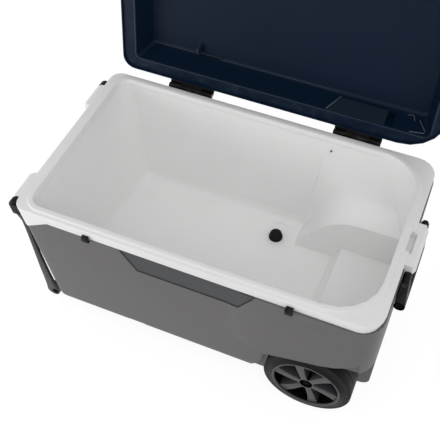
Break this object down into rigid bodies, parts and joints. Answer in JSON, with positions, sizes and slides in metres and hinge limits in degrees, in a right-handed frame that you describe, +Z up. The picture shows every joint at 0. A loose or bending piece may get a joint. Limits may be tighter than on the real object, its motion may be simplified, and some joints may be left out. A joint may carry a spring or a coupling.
{
  "type": "wheeled cooler",
  "caption": "Insulated wheeled cooler box, lid open: hinged domed lid, swing-out tow handle, wheel-end lift handle, spoked wheels and floor drain.",
  "frame": {"origin": "middle of the tub's flat underside, which lies 46 mm above the ground", "axes": "+X runs to the wheel end, +Y to the hinge side at the back, +Z up; the front is -Y and the tow handle is at -X"},
  "size_m": [0.8095, 0.6113, 0.8118],
  "materials": {
    "grey_shell": "fine-textured moulded polypropylene",
    "white_liner": "smooth satin moulded liner",
    "white_collar": "satin moulded rim",
    "foam": "rigid insulating foam",
    "grey_plate": "satin dark grey plate, bare",
    "black_plastic": "moulded, satin",
    "black_rubber": "soft-touch",
    "navy_lid": "satin moulded polyethylene",
    "grey_arm": "satin moulded",
    "steel": "zinc-plated rod",
    "dark_tyre": "hard moulded tread",
    "grey_hub": "satin moulded wheel centre"
  },
  "bodies": {
    "tub": {"tub_shell": "grey_shell", "tub_foam": "foam", "tub_liner": "white_liner", "collar": "white_collar", "front_plate": "grey_plate", "tie_loop_left": "black_plastic", "tie_loop_right": "black_plastic", "foot_front": "black_rubber", "foot_back": "black_rubber", "drain_fitting": "black_plastic", "drain_nut": "black_plastic", "axle": "steel", "axle_cap_front": "black_plastic", "axle_cap_back": "black_plastic", "hinge_base_left": "black_plastic", "hinge_pin_left": "steel", "hinge_base_right": "black_plastic", "hinge_pin_right": "steel", "tow_pin_front": "black_plastic", "tow_pin_back": "black_plastic", "lift_pin_front": "black_plastic", "lift_pin_back": "black_plastic"},
    "lid": {"lid_shell": "navy_lid", "lid_liner": "navy_lid", "lid_foam": "foam", "hinge_leaf_left": "black_plastic", "hinge_leaf_right": "black_plastic"},
    "tow_handle": {"tow_frame": "grey_arm", "tow_cap_front": "black_plastic", "tow_cap_back": "black_plastic", "tow_grip": "black_rubber"},
    "lift_handle": {"lift_frame": "black_plastic", "lift_grip": "black_rubber"},
    "wheel_front": {"tyre_front": "dark_tyre", "hub_front": "grey_hub"},
    "wheel_back": {"tyre_back": "dark_tyre", "hub_back": "grey_hub"},
    "drain_cap": {"drain_cap": "black_plastic"}
  },
  "joints": [
    {"name": "lid_hinge", "type": "hinge", "parent": "tub", "child": "lid", "pos_m": [0, 0.234, 0.31], "axis": [1, 0, 0], "range_deg": [0, 97]},
    {"name": "tow_swing", "type": "hinge", "parent": "tub", "child": "tow_handle", "pos_m": [-0.391, 0, 0.284], "axis": [0, 1, 0], "range_deg": [0, 120]},
    {"name": "lift_swing", "type": "hinge", "parent": "tub", "child": "lift_handle", "pos_m": [0.3895, 0, 0.287], "axis": [0, -1, 0], "range_deg": [0, 95]},
    {"name": "wheel_front_spin", "type": "hinge", "parent": "tub", "child": "wheel_front", "pos_m": [0.263, -0.195, 0.048], "axis": [0, 1, 0], "continuous": true},
    {"name": "wheel_back_spin", "type": "hinge", "parent": "tub", "child": "wheel_back", "pos_m": [0.263, 0.195, 0.048], "axis": [0, 1, 0], "continuous": true},
    {"name": "drain_cap_turn", "type": "hinge", "parent": "tub", "child": "drain_cap", "pos_m": [0.068, 0.127, -0.014], "axis": [0, 0, 1], "range_deg": [0, 90]}
  ]
}
